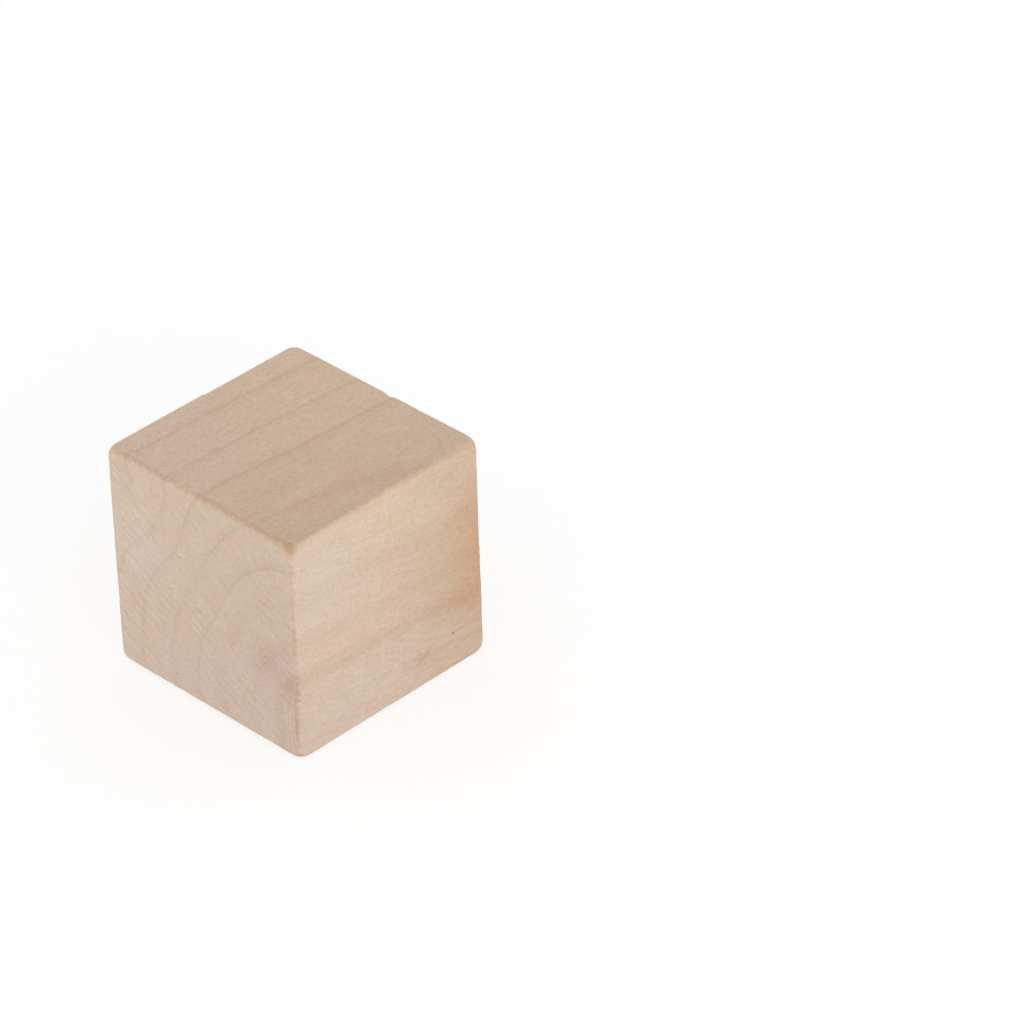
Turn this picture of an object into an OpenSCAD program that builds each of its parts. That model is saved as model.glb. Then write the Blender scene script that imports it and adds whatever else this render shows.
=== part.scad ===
// Small plain wooden cube, sawn from one piece of pale hardwood and sanded.
// +Z is up, the grain runs along Y, and the origin is the middle of the face that it stands on.
// All sizes are in millimetres.

/* [Block] */
// Width across the grain, between the two upright long-grain faces
block_w = 25.7; // [12:0.1:60]
// Length along the grain, between the two sawn end-grain faces
block_l = 25.4; // [12:0.1:60]
// Height across the grain, from the resting face to the top face
block_h = 25.1; // [12:0.1:60]

/* [Sanding] */
// Radius of the four edges that run along the grain
long_edge_r = 0.35; // [0.2:0.05:1]
// Radius of the eight edges round the two end-grain faces, where the fibres wear back further
end_edge_r = 0.55; // [0.2:0.05:1]
// Radius of the ball that each corner is sanded to
corner_r = 1.8; // [1.4:0.1:4]

/* [Chip] */
// Where the chip sits along the top edge of the far end-grain face, from the block's middle
chip_x = 0.8; // [-4:0.1:4]
// Width of the chip at the top face
chip_w = 1.7; // [0.6:0.1:3]
// How far below the edge's rounding the chip breaks out of the end-grain face
chip_below = 0.05; // [0.05:0.05:0.5]
// How far the chip runs back along the grain before it fades out at the top face
chip_run = 1.3; // [0.6:0.1:4]

/* [Hidden] */
$fn = 96;
over = 1; // how far cutting shapes stand out past the wood
ball_gap = 0.03; // the corner ball leaves an edge this far before its cutter ends

sharp_r = min(long_edge_r, end_edge_r);
// The ball's middle stands this far in from the three faces of a corner, so that the ball
// runs out along the sharper edges and cuts the corner only
ball_in = sharp_r + (corner_r - ball_gap - sharp_r) / sqrt(2);

// The chip is part of a round gouge, tilted down towards the end-grain face
chip_d = end_edge_r + chip_below; // its depth below the top face
chip_r = (pow(chip_w / 2, 2) + pow(chip_d, 2)) / (2 * chip_d);
chip_tilt = atan(chip_d / chip_run);

// Outline of one pair of faces, w by h, with its four corners rounded to r
module eased_outline(w, h, r) {
  square([w - 2 * r, h], center = true);
  square([w, h - 2 * r], center = true);
  for (x = [-1, 1], y = [-1, 1])
    translate([x * (w / 2 - r), y * (h / 2 - r)]) circle(r);
}

// The block centred on the origin: what three eased bars have in common, one along each axis,
// so that every edge takes the radius of the bar that runs along it
module eased_block() {
  intersection() {
    rotate([90, 0, 0])
      linear_extrude(height = block_l, center = true)
        eased_outline(block_w, block_h, long_edge_r);
    rotate([90, 0, 90])
      linear_extrude(height = block_w, center = true)
        eased_outline(block_l, block_h, end_edge_r);
    linear_extrude(height = block_h, center = true)
      eased_outline(block_w, block_l, end_edge_r);
  }
}

// What sanding takes off one corner, with the corner's point at the origin and the wood
// towards +X, +Y and +Z
module corner_waste() {
  difference() {
    translate([-over, -over, -over]) cube(ball_in + over);
    translate([ball_in, ball_in, ball_in]) sphere(corner_r);
  }
}

// Corner waste at all eight corners of the centred block
module all_corner_waste() {
  for (x = [0, 1], y = [0, 1], z = [0, 1])
    mirror([x, 0, 0]) mirror([0, y, 0]) mirror([0, 0, z])
      translate([-block_w / 2, -block_l / 2, -block_h / 2]) corner_waste();
}

// Splinter lost from the top edge of the far end-grain face of the centred block
module chip() {
  translate([chip_x, block_l / 2, block_h / 2 - chip_d])
    rotate([90 - chip_tilt, 0, 0])
      translate([0, chip_r, -over])
        cylinder(r = chip_r, h = over + 2 * chip_run);
}

module wood_cube() {
  color([0.80, 0.71, 0.61])
    translate([0, 0, block_h / 2])
      difference() {
        eased_block();
        all_corner_waste();
        chip();
      }
}

wood_cube();
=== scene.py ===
import math
from functools import partial

import bmesh
import bpy
import numpy as np
from mathutils import Euler, Matrix, Vector, noise


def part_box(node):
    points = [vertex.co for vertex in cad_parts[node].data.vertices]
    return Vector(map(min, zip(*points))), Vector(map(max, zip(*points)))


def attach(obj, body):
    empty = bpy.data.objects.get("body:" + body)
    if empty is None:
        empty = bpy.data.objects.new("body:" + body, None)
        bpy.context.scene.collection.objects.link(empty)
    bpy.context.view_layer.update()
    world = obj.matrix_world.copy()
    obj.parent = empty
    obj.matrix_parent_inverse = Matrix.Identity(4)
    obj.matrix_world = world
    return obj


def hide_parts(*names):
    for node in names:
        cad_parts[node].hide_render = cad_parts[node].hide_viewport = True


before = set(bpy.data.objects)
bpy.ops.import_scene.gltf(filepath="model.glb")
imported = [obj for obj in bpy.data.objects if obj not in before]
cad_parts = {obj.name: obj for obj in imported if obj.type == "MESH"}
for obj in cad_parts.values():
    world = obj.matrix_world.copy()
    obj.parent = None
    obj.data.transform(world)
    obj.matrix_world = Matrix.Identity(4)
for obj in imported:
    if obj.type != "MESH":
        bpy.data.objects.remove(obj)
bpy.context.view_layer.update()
print("frame loaded")

mm = 0.001  # one millimetre in scene units

blockLow, blockHigh = (np.array(corner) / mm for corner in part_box("wood_cube"))
blockMiddle = (blockLow + blockHigh) / 2  # all in mm: X across, Y along the grain, Z up
blockHalf = (blockHigh - blockLow) / 2


def linearColour(hexCode):
    # sRGB hex, as a paint program shows it, to the linear values that shaders take
    channels = [int(hexCode[i:i + 2], 16) / 255 for i in (1, 3, 5)]
    linear = [c / 12.92 if c <= 0.04045 else ((c + 0.055) / 1.055) ** 2.4 for c in channels]
    return (*linear, 1.0)


def addNode(tree, kind, inputs=None, **settings):
    # settings are the node's own properties, and an input is a value or another node's output.
    # Inputs 1 to 4 of MapRange are its two limits and what they turn into, 6 and 7 of Mix its
    # two colours
    node = tree.nodes.new("ShaderNode" + kind)
    for name, value in settings.items():
        setattr(node, name, value)
    for key, value in (inputs or {}).items():
        if isinstance(value, bpy.types.NodeSocket):
            tree.links.new(value, node.inputs[key])
        else:
            node.inputs[key].default_value = value
    return node.outputs


# where the camera stands, and where the block's middle is in front of it
lookFrom = {
    "azimuth": 44.967,    # degrees, from facing the near end grain towards the right face
    "elevation": 34.371,
    "roll": -1.493,
    "lens": 191.82,       # mm, for a sensor 36 mm wide
    "right": -20.989,     # mm right of the lens's axis
    "down": 3.611,
    "away": 534.43,
}


def makeCamera(spec):
    azimuth, elevation, roll = (math.radians(spec[k]) for k in ("azimuth", "elevation", "roll"))
    back = Vector((math.sin(azimuth) * math.cos(elevation),
                   -math.cos(azimuth) * math.cos(elevation), math.sin(elevation)))
    level = Vector((0, 0, 1)).cross(back).normalized()
    upright = back.cross(level)
    right = level * math.cos(roll) + upright * math.sin(roll)
    up = upright * math.cos(roll) - level * math.sin(roll)
    place = Vector(blockMiddle) - right * spec["right"] + up * spec["down"] + back * spec["away"]
    data = bpy.data.cameras.new("camera")
    data.lens, data.sensor_width = spec["lens"], 36
    data.clip_start, data.clip_end = 0.01, 20
    camera = bpy.data.objects.new("camera", data)
    turned = Matrix((right, up, back)).transposed().to_4x4()
    camera.matrix_world = Matrix.Translation(place * mm) @ turned
    bpy.context.scene.collection.objects.link(camera)
    bpy.context.scene.camera = camera


makeCamera(lookFrom)
print("camera placed")


# how sanding and handling have worn the block, in mm
wear = {
    "rows": 124,           # rows of faces along each side
    "crowding": 0.3,       # how much closer the rows stand at an edge than on average
    "longArris": 0.35,     # radius of the edges along the grain
    "endArris": 0.55,      # radius of the edges round the end grain, where fibres wear back
    "cornerBall": 1.8,     # radius of the ball that a corner is sanded to
    "cornerInset": 1.35,   # how far in from its three faces that ball's middle stands
    "cornerBlend": 0.14,   # how softly the ball runs out into faces and edges
    "cornersLost": (       # how far past that ball each is sanded, by its X, Y and Z side
        ((1, -1, 1), -0.12), ((-1, -1, 1), 0.06), ((1, 1, 1), 0.18), ((-1, 1, 1), 0.18),
        ((1, -1, -1), 0.1), ((-1, -1, -1), 0.1), ((1, 1, -1), 0.05), ((-1, 1, -1), 0.08)),
    "wander": 0.24,        # share by which an edge's radius comes and goes
    "wanderLength": 3.6,
    "nickDepth": 0.13,     # of the small nicks along the end-grain edges
    "nickLength": 0.85,
    "nickReach": 1.1,      # how far from those edges they fade out
    "nickPower": 1.5,      # the higher, the fewer and the sharper
    "unevenness": 0.02,    # how far the sanded faces are from flat
    "unevenLength": 7.0,
    "chipMiddle": 0.8,     # along X, of the splinter gone from the top edge of the far end grain
    "chipWidth": 1.7,
    "chipDepth": 0.6,
    "chipRun": 1.3,        # how far it runs back along the grain
    "chipTorn": 0.06,      # share by which its wall is uneven
    "chipTornLength": 0.35,
}


def smoothStep(value):
    value = np.clip(value, 0, 1)
    return value * value * (3 - 2 * value)


def wanderOf(points, length, shift):
    # smooth noise of that wavelength at each point, from about -1 to 1. The shift is any number,
    # another one for each use
    offset = Vector((shift, -shift * 1.7, shift * 0.6))
    return np.array([noise.noise(Vector(p) / length + offset) for p in points])


def spreadRows(unit, crowding):
    # unit runs from -1 to 1 in even steps, the result in steps that shrink towards both ends
    inwards = 1 - np.abs(unit)
    return np.sign(unit) * (1 - crowding * inwards - (1 - crowding) * inwards ** 2)


def easeEdges(flat, spec):
    # flat: points on the sharp-edged block, in mm from its middle. Each is pulled onto a round
    # edge whose radius comes and goes, then moved by the small unevenness of a sanded face
    gap = blockHalf - np.abs(flat)  # to the three pairs of faces, 0 on its own face
    alongSide = np.maximum(gap[:, 0], gap[:, 2])
    endShare = alongSide / (alongSide + gap[:, 1] + 1e-9)
    radius = spec["longArris"] + (spec["endArris"] - spec["longArris"]) * endShare
    radius *= 1 + spec["wander"] * wanderOf(flat, spec["wanderLength"], 3.1)
    core = np.clip(flat, -(blockHalf - radius[:, None]), blockHalf - radius[:, None])
    out = flat - core
    out /= np.linalg.norm(out, axis=1)[:, None]
    toArris = gap[:, 1] + np.minimum(gap[:, 0], gap[:, 2])
    nearArris = smoothStep(1 - toArris / spec["nickReach"])
    torn = np.maximum(wanderOf(flat, spec["nickLength"], 5.7), 0) ** spec["nickPower"]
    nicks = torn * spec["nickDepth"] * nearArris
    dips = np.abs(wanderOf(flat, spec["unevenLength"], 1.9)) * spec["unevenness"]
    return core + out * (radius - nicks - dips)[:, None]


def roundCorners(points, spec):
    # what stands out of the ball at the nearest corner is pressed back onto it, softly at its rim
    out = np.maximum(np.abs(points) - (blockHalf - spec["cornerInset"]), 0) * np.sign(points)
    distance = np.linalg.norm(out, axis=1)
    ball = np.full(len(points), spec["cornerBall"])
    for sides, lost in spec["cornersLost"]:
        ball[np.all(np.sign(points) == sides, axis=1)] -= lost
    rim = spec["cornerBlend"]
    excess = distance - ball
    press = np.where(excess > rim, excess, np.maximum(excess + rim, 0) ** 2 / (4 * rim))
    return points - out * (press / np.maximum(distance, 1e-9))[:, None]


def cutChip(points, spec):
    # what lies inside a round gouge, tilted down to the end grain, is pressed out to its wall
    width, depth = spec["chipWidth"], spec["chipDepth"]
    radius = (width ** 2 / 4 + depth ** 2) / (2 * depth)
    tilt = math.atan(depth / spec["chipRun"])
    axis = np.array((0, -math.cos(tilt), math.sin(tilt)))
    start = np.array((spec["chipMiddle"], blockHalf[1], blockHalf[2] - depth))
    start = start + radius * np.array((0, math.sin(tilt), math.cos(tilt)))
    across = points - start
    across -= (across @ axis)[:, None] * axis
    distance = np.linalg.norm(across, axis=1)
    torn = radius * (1 + spec["chipTorn"] * wanderOf(points, spec["chipTornLength"], 2.2))
    inside = distance < torn
    points[inside] += across[inside] * (torn[inside] / distance[inside] - 1)[:, None]
    return points


def layOutUv(mesh, flat):
    # one island for each side, three across and two up
    uvMap = mesh.uv_layers.new(name="OFBake")
    normals = np.empty(len(mesh.polygons) * 3)
    mesh.polygons.foreach_get("normal", normals)
    normals = normals.reshape(-1, 3)
    side = np.argmax(np.abs(normals), axis=1)
    facing = normals[np.arange(len(side)), side] > 0
    corners = np.empty(len(mesh.loops), dtype=int)
    mesh.loops.foreach_get("vertex_index", corners)
    side, facing = np.repeat(side, 4), np.repeat(facing, 4)
    share = (flat[corners] / blockHalf + 1) / 2
    first = share[np.arange(len(side)), (side + 1) % 3]
    second = share[np.arange(len(side)), (side + 2) % 3]
    margin = 0.02
    u = (side + margin + first * (1 - 2 * margin)) / 3
    v = (facing + margin + second * (1 - 2 * margin)) / 2
    uvMap.data.foreach_set("uv", np.column_stack((u, v)).ravel())


def makeBlock(spec):
    bm = bmesh.new()
    bmesh.ops.create_cube(bm, size=2)
    bmesh.ops.subdivide_edges(bm, edges=bm.edges[:], cuts=spec["rows"] - 1, use_grid_fill=True)
    mesh = bpy.data.meshes.new("woodenCube")
    bm.to_mesh(mesh)
    bm.free()
    unit = np.empty(len(mesh.vertices) * 3)
    mesh.vertices.foreach_get("co", unit)
    flat = spreadRows(unit.reshape(-1, 3), spec["crowding"]) * blockHalf
    layOutUv(mesh, flat)  # while the sides still meet in sharp edges
    worn = cutChip(roundCorners(easeEdges(flat, spec), spec), spec) + blockMiddle
    worn[:, 2] = np.maximum(worn[:, 2], blockLow[2])
    mesh.vertices.foreach_set("co", (worn * mm).ravel())
    mesh.polygons.foreach_set("use_smooth", [True] * len(mesh.polygons))
    mesh.update()
    block = bpy.data.objects.new("woodenCube", mesh)
    bpy.context.scene.collection.objects.link(block)
    return block


woodenCube = makeBlock(wear)
print("block made,", len(woodenCube.data.polygons), "faces")


# where the block lay in the tree, in mm in its own frame. Angles are in degrees, to the left of
# straight up from the pith
timber = {
    "pith": (13.5, -12.7, 3.0),  # the middle of the rings on the near end grain
    "drift": (0.012, -0.059),    # how far it moves in X and Z for each mm along Y
    "squeeze": (57, 3, 1.28),    # angles between which rings widen, and how much
    "dents": (  # flatter stretches: angle and half width, ring radii from which and at which
        # the dent is full, its depth, and heights between which it sets in
        (49, 20, 18.5, 26.5, 1.8, 25.2, 22.4),
        (0, 17, 16.0, 18.0, 0.57, 40.0, 30.0),
        (90, 70, 0.0, 3.0, 2.0, 40.0, 30.0), (90, 70, 5.0, 11.0, -2.0, 40.0, 30.0)),
    "wobble": 0.2,             # how far a ring strays in or out
    "wobbleScale": (0.3, 0.036, 0.3),  # waves in a mm across and along the grain
    "widest": 36.0,
    "rings": (  # radius, darkness, share of it in a thin line, width of shade inside and outside
        (1.7, 0.9, 0.8, 0.25, 0.25), (2.6, 0.9, 0.8, 0.25, 0.25), (3.5, 0.9, 0.8, 0.25, 0.25),
        (4.9, 0.7, 0.1, 0.8, 0.9), (8.1, 0.4, 0.1, 0.9, 1.0), (12.0, 0.45, 0.2, 1.0, 1.2),
        (14.75, 1.0, 0.65, 0.2, 1.1), (18.5, 0.9, 0.75, 1.0, 0.5), (22.9, 0.95, 0.65, 1.0, 0.3),
        (26.75, 0.95, 0.65, 0.8, 0.3), (31.5, 0.95, 0.65, 0.7, 0.5)),
    "lineWidth": 0.22,
    "quiet": (  # ring, to how far from it, angles between which it fades, share that is left
        (2.4, 2.2, 35, 20, 0.2), (2.4, 2.2, 140, 155, 0.3), (10.0, 4.0, 42, 62, 0.25),
        (14.75, 2.0, 5, 3, 0.35), (14.75, 2.0, 28, 38, 0.72), (18.5, 1.5, 32, 45, 0.65),
        (22.9, 1.5, 43, 50, 0.68), (26.75, 1.5, 41, 45, 0.7), (31.5, 2.0, 47, 53, 0.45)),
}

# bare sanded birch: a pale, matt, fine-grained wood with thin darker rings, tiny pores and
# faint marks of the saw on its end grain. Lengths are in mm
birch = {
    "outer": "#DDC3AC",      # wood near the bark
    "inner": "#D1BAA5",      # darker wood near the pith
    "ringLine": "#B08A6C",
    "ringDepth": 0.26,
    "endTint": "#F8FDFF",    # end grain is that much cooler and darker
    "endSkin": (0.4, 0.1),   # depths between which the look of the end grain sets in
    "blush": "#DDA98C",      # warmer clouds
    "blushDepth": 0.12,
    "blushScale": 0.35,      # clouds in a mm
    "burnt": "#BB845E",      # edges rubbed brown by the sander
    "burntDepth": 0.34,
    "burntReach": (0.75, 0.2),  # how far back along the grain the brown ends and is full
    "burntNarrow": 1.7,      # times as narrow on the end grain
    "burntUpright": 0.2,     # by how much less far along upright edges
    "burntRagged": 1.5,
    "patterns": {  # size across and along the grain, share lighter or darker, relief
        "speckle": (0.34, 0.45, 0.32, 0.010),
        "fibre": (0.3, 2.0, 0.21, 0.008),
        "streak": (1.1, 14.0, 0.05, 0.0),
        "cloud": (1.7, 2.4, 0.07, 0.0)},
    "fibreTilt": 7,          # degrees by which fibres dive below the rings' length
    "endShare": 0.8,         # share of the patterns that the end grain shows
    "fading": (0.76, 1.0, 1.23),  # how much of a pattern's shade red, green and blue take
    "poreSize": 0.38,        # from pore to pore, drawn coarser than real ones so that they show
    "poreRim": (0.22, 0.08),  # share of that at which a pore ends and is full
    "poreStretch": 0.15,     # how much slower they change along the grain
    "poreShade": 0.06,
    "poreRelief": 0.006,
    "sawPitch": 1.025,       # between the marks on the end grain
    "sawTurn": 59,           # degrees from level in which they follow each other
    "sawBend": (0.12, 6.0),  # waves in a mm by which they bend, and how far in radians
    "sawShade": 0.018,
    "sawRelief": 0.03,
    "scratch": (0.28, 2.0, 0.36),  # size across and along a scratch, share darker
    "patchSize": 7.0,        # between the patches where saw and scratches show
    "patchShare": (0.25, 1.0),  # of their strength beside the patches and in them
    "raggedScale": 2.2,      # teeth in a mm along the rim of a mark
    "roughness": (0.56, 0.72),
}

# broad tints of the wood, and painted light and shade, in mm in the block's frame: middle, half
# lengths along X, Y and Z, share of them that is not faded, colour, depth, raggedness
washesAndPaintedLight = (
    ((12.85, 13, 11), (1, 17, 24), 0.0, "#B99A78", 0.5, 0.1),      # darker and browner towards the far edge of the side
    ((12.85, 12, 13), (1, 5, 13), 0.0, "#C9936B", 0.34, 0.5),      # redder beside that edge
    ((12.85, 12, 17.5), (1, 6, 5), 0.0, "#C9946F", 0.22, 0.5),     # reddest spot there
    ((12.85, 11, 7.9), (1, 9, 3.0), 0.0, "#BF8464", 0.26, 0.7),    # red end of a ring's band
    ((12.85, -9, 19), (1, 9, 10), 0.0, "#D4C7B6", 0.5, 0.1),       # painted highlight on the upper near part of the side
    ((12.85, -5, 4), (1, 21, 7), 0.0, "#CFBFB0", 0.5, 0.2),        # greyer foot
    ((12.85, 4, 22), (1, 13, 7), 0.0, "#D8C9A7", 0.25, 0.2),       # yellower upper edge
    ((-5, 8, 25.1), (14, 16, 1), 0.0, "#E3C3A3", 0.5, 0.1),        # painted warm light on the top, young side
    ((8, -2, 25.1), (14, 28, 1), 0.0, "#D9B897", 0.5, 0.1),        # painted warm light and shade on the top, old side
    ((7.0, -6, 25.1), (1.2, 8, 1), 0.0, "#EFDFCB", 0.08, 0.7),     # paler beside a ring
    ((10.4, 6.4, 25.1), (1.9, 3.6, 1), 0.0, "#EFDFCB", 0.12, 0.6),  # same ring, further on
    ((12.85, -12.7, 25.1), (6, 6, 1), 0.0, "#BFA883", 0.45, 0.2),  # painted shade on the top's near right corner
    ((11.9, -6, 25.1), (1.3, 6, 1), 0.0, "#AC8B6F", 0.12, 0.5),    # painted shade on the top near the edge
    ((4.6, -8, 25.1), (3.4, 6, 1), 0.0, "#B59A7F", 0.12, 0.3),     # painted shade on the top near the end grain
    ((12.85, 7.5, 22.8), (1, 8, 3.0), 0.0, "#B59A7F", 0.16, 0.3),  # painted shade on the side near the top edge
    ((-10.4, -12.7, 14.6), (9, 1, 7), 0.0, "#D6C7BA", 0.5, 0.1),   # paler young end grain
    ((0, -12.7, 2), (22, 1, 10), 0.0, "#D2BBB0", 0.4, 0.2),        # pinker foot of the end grain
    ((9.7, -12.7, 9.6), (6.7, 1, 5.8), 0.0, "#CAAEA1", 0.5, 0.3),  # redder round the pith
    ((12.2, -12.7, 8.2), (2.6, 1, 2.8), 0.0, "#B99482", 0.38, 0.9),  # reddest beside it
)

# small marks and painted highlights and shade over rings and fibres, given in the same way
marksAndPaintedLight = (
    ((9.0, -12.7, 10.2), (2.8, 1.0, 2.4), 0.0, "#B38F7F", 0.2, 2.0),      # torn grain
    ((-2.8, -12.7, 21.7), (0.38, 0.4, 0.26), 0.0, "#EADCCE", 0.52, 0.3),  # painted highlight on a raised splinter
    ((-2.8, -12.7, 17.1), (0.42, 0.4, 0.26), 0.0, "#EADCCE", 0.52, 0.3),  # another
    ((-4.5, -12.7, 12.6), (0.42, 0.4, 0.26), 0.0, "#EADCCE", 0.52, 0.3),  # another
    ((-3.0, -12.7, 16.7), (0.5, 0.4, 0.22), 0.0, "#A58468", 0.4, 0.3),    # painted shade under a splinter
    ((-4.6, -12.7, 12.2), (0.45, 0.4, 0.2), 0.0, "#A58468", 0.4, 0.3),    # another
    ((12.45, -12.7, 4.2), (0.32, 0.5, 3.8), 0.0, "#A5816F", 0.45, 0.4),   # dark line by the pith
    ((12.85, 4.1, 3.3), (2.4, 3.6, 1.9), 0.0, "#B88F7C", 0.24, 1.3),      # smudge
    ((12.85, 4.2, 3.6), (1.0, 1.6, 0.8), 0.0, "#B9866F", 0.3, 0.6),       # its middle
    ((12.85, 10.8, 4.2), (1, 4.5, 0.35), 0.0, "#AE8A6C", 0.27, 0.3),      # end of a ring line
    ((12.85, -12.7, 25.1), (1.15, 1.15, 1.8), 0.3, "#B78B66", 0.66, 0.2),  # scorched corner
    ((12.85, -12.7, 0), (1.0, 1.0, 1.3), 0.0, "#B98868", 0.5, 0.3),       # rubbed corner at foot
    ((12.8, -12.7, 15), (0.42, 0.4, 14), 0.2, "#B3876A", 0.42, 0.5),      # rubbed edge
    ((-12.85, -12.7, 25.1), (1.3, 1.3, 1.1), 0.0, "#B08663", 0.6, 0.3),   # rubbed left corner
    ((12.85, 8.3, 4.2), (0.5, 0.24, 0.19), 0.3, "#6B4F3C", 0.62, 0.3),    # dark fleck
    ((-4.6, -12.7, 2.0), (0.16, 0.3, 0.14), 0.3, "#6B4A38", 0.7, 0.2),    # speck
)


def ringCurve(spec):
    # ring shade over radius, as points of a curve from 0 to 1
    width = spec["lineWidth"]
    points = [(0, 0)]
    for radius, dark, line, inside, outside in spec["rings"]:
        soft = (1 - line) * dark
        points += [(radius - inside - width, 0), (radius - width, soft * (inside > 2 * width)),
                   (radius, dark), (radius + width, soft * (outside > 2 * width)),
                   (radius + outside + width, 0)]
    return [(radius / spec["widest"], shade) for radius, shade in points] + [(1, 0)]


def ringsOf(add, wood, grain, high):
    # ring radius at each point in mm, and how dark the ring is there
    across = add("VectorMath", {0: grain, 1: (1, 0, 1)}, operation="MULTIPLY")[0]
    out = add("VectorMath", {0: across}, operation="LENGTH")["Value"]
    part = add("SeparateXYZ", {0: grain})
    upright = add("Math", {0: part[0], 1: part[2]}, operation="ARCTAN2")[0]
    wide, narrow, widening = wood["squeeze"]
    squeeze = add("MapRange", {0: upright, 1: -math.radians(wide), 2: -math.radians(narrow), 3: 1.0,
                               4: widening}, interpolation_type="SMOOTHSTEP")[0]
    ring = add("Math", {0: out, 1: squeeze}, operation="DIVIDE")[0]
    for middle, half, first, full, depth, above, below in wood["dents"]:
        aside = add("Math", {0: upright, 1: math.radians(middle)}, operation="ADD")[0]
        aside = add("Math", {0: aside}, operation="ABSOLUTE")[0]
        here = add("MapRange", {0: aside, 1: math.radians(half), 2: 0.0},
                   interpolation_type="SMOOTHSTEP")[0]
        low = add("MapRange", {0: high, 1: above, 2: below}, interpolation_type="SMOOTHSTEP")[0]
        here = add("Math", {0: here, 1: low}, operation="MULTIPLY")[0]
        pressed = add("MapRange", {0: ring, 1: first, 2: full, 3: 0.0, 4: depth})[0]
        ring = add("Math", {0: here, 1: pressed, 2: ring}, operation="MULTIPLY_ADD")[0]
    slow = add("VectorMath", {0: grain, 1: wood["wobbleScale"]}, operation="MULTIPLY")[0]
    wobble = add("TexNoise", {"Vector": slow, "Scale": 1.0, "Detail": 3.0, "Roughness": 0.55})[0]
    wobble = add("MapRange", {0: wobble, 1: 0.25, 2: 0.75, 3: -wood["wobble"],
                              4: wood["wobble"]})[0]
    ring = add("Math", {0: ring, 1: wobble}, operation="ADD")[0]
    share = add("Math", {0: ring, 1: wood["widest"]}, operation="DIVIDE")[0]
    shade = add("FloatCurve", {"Value": share})[0]
    first, *between, last = ringCurve(wood)
    curve = shade.node.mapping.curves[0].points
    curve[0].location, curve[1].location = first, last
    for point in between:
        curve.new(*point)
    for point in curve:
        point.handle_type = "VECTOR"  # straight lines from point to point
    shade.node.mapping.update()
    for middle, reach, loud, faint, left in wood["quiet"]:
        fade = add("MapRange", {0: upright, 1: -math.radians(loud), 2: -math.radians(faint),
                                3: 0.0, 4: 1 - left}, interpolation_type="SMOOTHSTEP")[0]
        aside = add("Math", {0: ring, 1: middle}, operation="SUBTRACT")[0]
        aside = add("Math", {0: aside}, operation="ABSOLUTE")[0]
        touched = add("MapRange", {0: aside, 1: reach, 2: reach / 2, 3: 0.0, 4: fade})[0]
        kept = add("Math", {0: 1.0, 1: touched}, operation="SUBTRACT")[0]
        shade = add("Math", {0: shade, 1: kept}, operation="MULTIPLY")[0]
    return ring, shade


def sawMarks(add, spec, place):
    # even waves and finer scratches across the end grain at one slant, both in patches
    turned = math.radians(spec["sawTurn"])
    along = (math.cos(turned), 0, math.sin(turned))
    sawPlace = add("VectorMath", {0: place, 1: along}, operation="DOT_PRODUCT")["Value"]
    waves, bend = spec["sawBend"]
    drift = add("TexNoise", {"Vector": place, "Scale": waves, "Detail": 1.0})[0]
    turns = add("Math", {0: sawPlace, 1: 2 * math.pi / spec["sawPitch"]}, operation="MULTIPLY")[0]
    phase = add("Math", {0: drift, 1: bend, 2: turns}, operation="MULTIPLY_ADD")[0]
    saw = add("Math", {0: phase}, operation="SINE")[0]
    saw = add("Math", {0: saw, 1: spec["sawShade"]}, operation="MULTIPLY")[0]
    thick, long, depth = spec["scratch"]
    slanted = add("Mapping", {"Vector": place, "Rotation": (0, turned - math.pi / 2, 0)})[0]
    slanted = add("VectorMath", {0: slanted, 1: (1 / long, 1 / long, 1 / thick)},
                  operation="MULTIPLY")[0]
    scratch = add("TexNoise", {"Vector": slanted, "Scale": 1.0, "Detail": 2.0})[0]
    scratch = add("Math", {0: scratch, 1: 0.5}, operation="SUBTRACT")[0]
    marked = add("Math", {0: scratch, 1: depth, 2: saw}, operation="MULTIPLY_ADD")[0]
    patch = add("TexNoise", {"Vector": place, "Scale": 1 / spec["patchSize"], "Detail": 1.0})[0]
    patch = add("MapRange", {0: patch, 1: 0.4, 2: 0.6, 3: spec["patchShare"][0],
                             4: spec["patchShare"][1]})[0]
    return add("Math", {0: marked, 1: patch}, operation="MULTIPLY")[0]


def layMark(add, place, ragged, colour, mark):
    # blends one wash or mark of the lists into the colour
    middle, reach, solid, hexCode, depth, rough = mark
    away = add("VectorMath", {0: place, 1: middle}, operation="SUBTRACT")[0]
    away = add("VectorMath", {0: away, 1: reach}, operation="DIVIDE")[0]
    away = add("VectorMath", {0: away}, operation="LENGTH")["Value"]
    away = add("Math", {0: ragged, 1: 2 * rough, 2: away}, operation="MULTIPLY_ADD")[0]
    share = add("MapRange", {0: away, 1: 1.0, 2: solid, 3: 0.0, 4: depth},
                interpolation_type="SMOOTHSTEP")[0]
    return add("Mix", {0: share, 6: colour, 7: linearColour(hexCode)}, data_type="RGBA")[2]


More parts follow.
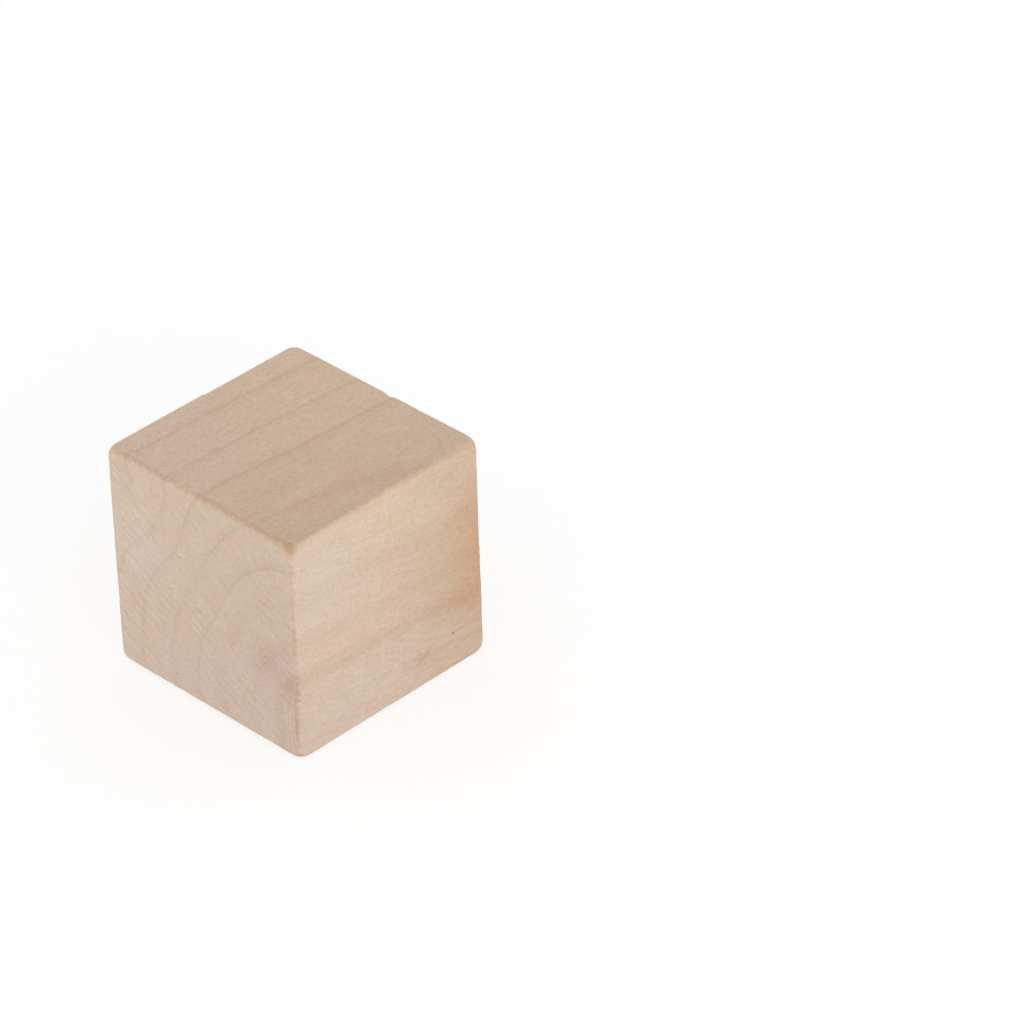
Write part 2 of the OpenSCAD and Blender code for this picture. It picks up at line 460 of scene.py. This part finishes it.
def sandedBirch(spec, wood, tintsAndPaintedLight, spotsAndPaintedLight):
    material = bpy.data.materials.new("sandedBirch")
    material.use_nodes = True
    tree = material.node_tree
    tree.nodes.clear()
    add = partial(addNode, tree)

    # place in mm in the block's frame, and in the tree's, along the grain from the pith
    place = add("VectorMath", {0: add("TexCoord")["Object"], "Scale": 1 / mm}, operation="SCALE")[0]
    turn = Euler((math.atan(-wood["drift"][1]), 0, math.atan(wood["drift"][0])))
    pith = turn.to_matrix() @ Vector(wood["pith"])
    grain = add("Mapping", {"Vector": place, "Rotation": turn, "Location": -pith})[0]
    high = add("SeparateXYZ", {0: place})[2]
    ring, shade = ringsOf(add, wood, grain, high)

    # distance in mm to the nearer face of each pair
    gap = add("VectorMath", {0: place, 1: tuple(blockMiddle)}, operation="SUBTRACT")[0]
    gap = add("VectorMath", {0: gap}, operation="ABSOLUTE")[0]
    gap = add("VectorMath", {0: tuple(blockHalf), 1: gap}, operation="SUBTRACT")[0]
    gapPart = add("SeparateXYZ", {0: gap})
    endFace = add("MapRange", {0: gapPart[1], 1: spec["endSkin"][0], 2: spec["endSkin"][1]},
                  interpolation_type="SMOOTHSTEP")[0]

    # lighter and darker by every pattern, with its relief
    level, height = 0.0, 0.0
    tilt = (math.radians(spec["fibreTilt"]), 0, 0)
    fibres = add("Mapping", {"Vector": grain, "Rotation": tilt})[0]
    for across, along, strength, relief in spec["patterns"].values():
        stretched = add("VectorMath", {0: fibres, 1: (1 / across, 1 / along, 1 / across)},
                        operation="MULTIPLY")[0]
        pattern = add("TexNoise", {"Vector": stretched, "Scale": 1.0, "Detail": 2.0})[0]
        centred = add("Math", {0: pattern, 1: 0.5}, operation="SUBTRACT")[0]
        level = add("Math", {0: centred, 1: strength, 2: level}, operation="MULTIPLY_ADD")[0]
        height = add("Math", {0: centred, 1: relief, 2: height}, operation="MULTIPLY_ADD")[0]
    share = add("MapRange", {0: endFace, 3: 1.0, 4: spec["endShare"]})[0]
    level = add("Math", {0: level, 1: share}, operation="MULTIPLY")[0]
    stretched = add("VectorMath", {0: fibres, 1: (1, spec["poreStretch"], 1)},
                    operation="MULTIPLY")[0]
    cell = add("TexVoronoi", {"Vector": stretched, "Scale": 1 / spec["poreSize"]})["Distance"]
    pore = add("MapRange", {0: cell, 1: spec["poreRim"][0], 2: spec["poreRim"][1]},
               interpolation_type="SMOOTHSTEP")[0]
    level = add("Math", {0: pore, 1: -spec["poreShade"], 2: level}, operation="MULTIPLY_ADD")[0]
    height = add("Math", {0: pore, 1: -spec["poreRelief"], 2: height},
                 operation="MULTIPLY_ADD")[0]
    marked = add("Math", {0: sawMarks(add, spec, place), 1: endFace}, operation="MULTIPLY")[0]
    level = add("Math", {0: level, 1: marked}, operation="ADD")[0]
    height = add("Math", {0: marked, 1: spec["sawRelief"], 2: height},
                 operation="MULTIPLY_ADD")[0]

    # colour: old to young wood, clouds, tints with painted light and shade, rings, then every
    # pattern over them
    ragged = add("TexNoise", {"Vector": place, "Scale": spec["raggedScale"], "Detail": 3.0,
                              "Roughness": 0.6})[0]
    ragged = add("Math", {0: ragged, 1: 0.5}, operation="SUBTRACT")[0]
    age = add("Math", {0: ring, 1: wood["widest"]}, operation="DIVIDE")[0]
    tone = add("Mix", {0: age, 6: linearColour(spec["inner"]), 7: linearColour(spec["outer"])},
               data_type="RGBA")[2]
    tone = add("Mix", {0: endFace, 6: tone, 7: linearColour(spec["endTint"])}, data_type="RGBA",
               blend_type="MULTIPLY")[2]
    cloud = add("TexNoise", {"Vector": grain, "Scale": spec["blushScale"], "Detail": 2.0})[0]
    share = add("MapRange", {0: cloud, 1: 0.35, 2: 0.75, 3: 0.0, 4: spec["blushDepth"]})[0]
    tone = add("Mix", {0: share, 6: tone, 7: linearColour(spec["blush"])}, data_type="RGBA")[2]
    for tint in tintsAndPaintedLight:
        tone = layMark(add, place, ragged, tone, tint)
    share = add("Math", {0: shade, 1: spec["ringDepth"]}, operation="MULTIPLY")[0]
    tone = add("Mix", {0: share, 6: tone, 7: linearColour(spec["ringLine"])}, data_type="RGBA")[2]
    shade = add("VectorMath", {0: spec["fading"], "Scale": level}, operation="SCALE")[0]
    shade = add("VectorMath", {0: shade, 1: (1, 1, 1)})[0]
    tone = add("VectorMath", {0: tone, 1: shade}, operation="MULTIPLY")[0]

    # edges rubbed brown round the end grain, ragged where fibres broke out
    side = add("Math", {0: gapPart[0], 1: gapPart[2]}, operation="MINIMUM")[0]
    edge = add("Math", {0: side, 1: spec["burntNarrow"], 2: gapPart[1]},
               operation="MULTIPLY_ADD")[0]
    edge = add("Math", {0: ragged, 1: spec["burntRagged"], 2: edge}, operation="MULTIPLY_ADD")[0]
    narrower = add("MapRange", {0: gapPart[0], 1: spec["burntReach"][0], 2: 0.0, 3: 0.0,
                                4: spec["burntUpright"]})[0]
    edge = add("Math", {0: edge, 1: narrower}, operation="ADD")[0]
    share = add("MapRange", {0: edge, 1: spec["burntReach"][0], 2: spec["burntReach"][1], 3: 0.0,
                             4: spec["burntDepth"]}, interpolation_type="SMOOTHSTEP")[0]
    tone = add("Mix", {0: share, 6: tone, 7: linearColour(spec["burnt"])}, data_type="RGBA")[2]
    # small marks, painted highlights and shade of splinters among them
    for mark in spotsAndPaintedLight:
        tone = layMark(add, place, ragged, tone, mark)

    normal = add("Bump", {"Height": height, "Distance": mm})[0]
    rough = add("MapRange", {0: cell, 1: 0.1, 2: 0.6, 3: spec["roughness"][0],
                             4: spec["roughness"][1]})[0]
    shader = add("BsdfPrincipled", {"Base Color": tone, "Roughness": rough, "Normal": normal,
                                    "IOR": 1.5})[0]
    add("OutputMaterial", {"Surface": shader})
    return material


woodenCube.data.materials.append(sandedBirch(birch, timber, washesAndPaintedLight, marksAndPaintedLight))
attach(woodenCube, "root")
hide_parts("wood_cube")
print("birch laid on")


# a light tent: pale floor, soft light that is strongest near the horizon, and one wide lamp
studio = {
    "floor": "#F4F4F4",
    "floorWidth": 6.0,        # m
    "floorGap": 0.01,         # mm below the block, so that the two don't share a plane
    "floorGlow": 0.68,        # brightness that the seen floor has of its own
    "shadowGrey": 0.4,        # how much of the light on it the seen floor adds to that
    "fade": (0.05, 0.16),     # m from the block between which the seen floor turns plain white
    "skyTop": 0.53,           # brightness overhead and near the horizon
    "skyLow": 1.54,
    "skyRise": (0.15, 0.75),  # heights between which one turns into the other, 1 being overhead
    "lamps": (  # name, azimuth, elevation, metres away, metres wide, watts
        ("rightLamp", 65, 20, 0.34, 0.2, 0.17),
    ),
}


def makeFloor(spec):
    bm = bmesh.new()
    bmesh.ops.create_grid(bm, x_segments=1, y_segments=1, size=spec["floorWidth"] / 2)
    bmesh.ops.translate(bm, verts=bm.verts[:], vec=(0, 0, -spec["floorGap"] * mm))
    mesh = bpy.data.meshes.new("floor")
    bm.to_mesh(mesh)
    bm.free()
    floor = bpy.data.objects.new("floor", mesh)
    bpy.context.scene.collection.objects.link(floor)
    material = bpy.data.materials.new("whitePaper")  # matt and even, with the block's shadow
    material.use_nodes = True
    tree = material.node_tree
    tree.nodes.clear()
    add = partial(addNode, tree)
    paper = add("BsdfDiffuse", {"Color": linearColour(spec["floor"])})[0]
    grey = spec["shadowGrey"]
    shadowed = add("BsdfDiffuse", {"Color": (grey, grey, grey, 1)})[0]
    glow = add("Emission", {"Strength": spec["floorGlow"]})[0]
    near = add("AddShader", {0: shadowed, 1: glow})[0]
    away = add("VectorMath", {0: add("TexCoord")["Object"]}, operation="LENGTH")["Value"]
    fade = add("MapRange", {0: away, 1: spec["fade"][0], 2: spec["fade"][1]},
               interpolation_type="SMOOTHSTEP")[0]
    white = add("Emission", {"Strength": 1.0})[0]
    seen = add("MixShader", {0: fade, 1: near, 2: white})[0]
    path = add("LightPath")
    mirrored = add("Math", {0: path["Is Glossy Ray"], 1: path["Is Transmission Ray"]},
                   operation="MAXIMUM")[0]
    direct = add("Math", {0: path["Is Camera Ray"], 1: mirrored}, operation="MAXIMUM")[0]
    add("OutputMaterial", {"Surface": add("MixShader", {0: direct, 1: paper, 2: seen})[0]})
    mesh.materials.append(material)


def makeSky(spec):
    world = bpy.data.worlds.new("lightTent")
    bpy.context.scene.world = world
    world.use_nodes = True
    tree = world.node_tree
    tree.nodes.clear()
    add = partial(addNode, tree)
    up = add("SeparateXYZ", {0: add("TexCoord")["Generated"]})[2]
    strength = add("MapRange", {0: up, 1: spec["skyRise"][0], 2: spec["skyRise"][1],
                                3: spec["skyLow"], 4: spec["skyTop"]},
                   interpolation_type="SMOOTHSTEP")[0]
    tent = add("Background", {"Strength": strength, "Color": (1, 1, 1, 1)})[0]
    white = add("Background", {"Strength": 1.0, "Color": (1, 1, 1, 1)})[0]
    path = add("LightPath")
    both = add("MixShader", {0: path["Is Camera Ray"], 1: tent, 2: white})[0]
    add("OutputWorld", {"Surface": both})


def makeLamps(spec):
    for name, azimuth, elevation, away, width, power in spec["lamps"]:
        a, e = math.radians(azimuth), math.radians(elevation)
        back = Vector((math.sin(a) * math.cos(e), -math.cos(a) * math.cos(e), math.sin(e)))
        data = bpy.data.lights.new(name, "AREA")
        data.size, data.energy = width, power
        lamp = bpy.data.objects.new(name, data)
        lamp.location = Vector(blockMiddle) * mm + back * away
        lamp.rotation_euler = back.to_track_quat("Z", "Y").to_euler()
        bpy.context.scene.collection.objects.link(lamp)


makeFloor(studio)
makeSky(studio)
makeLamps(studio)
bpy.context.scene.view_settings.view_transform = "Standard"
print("lights set")
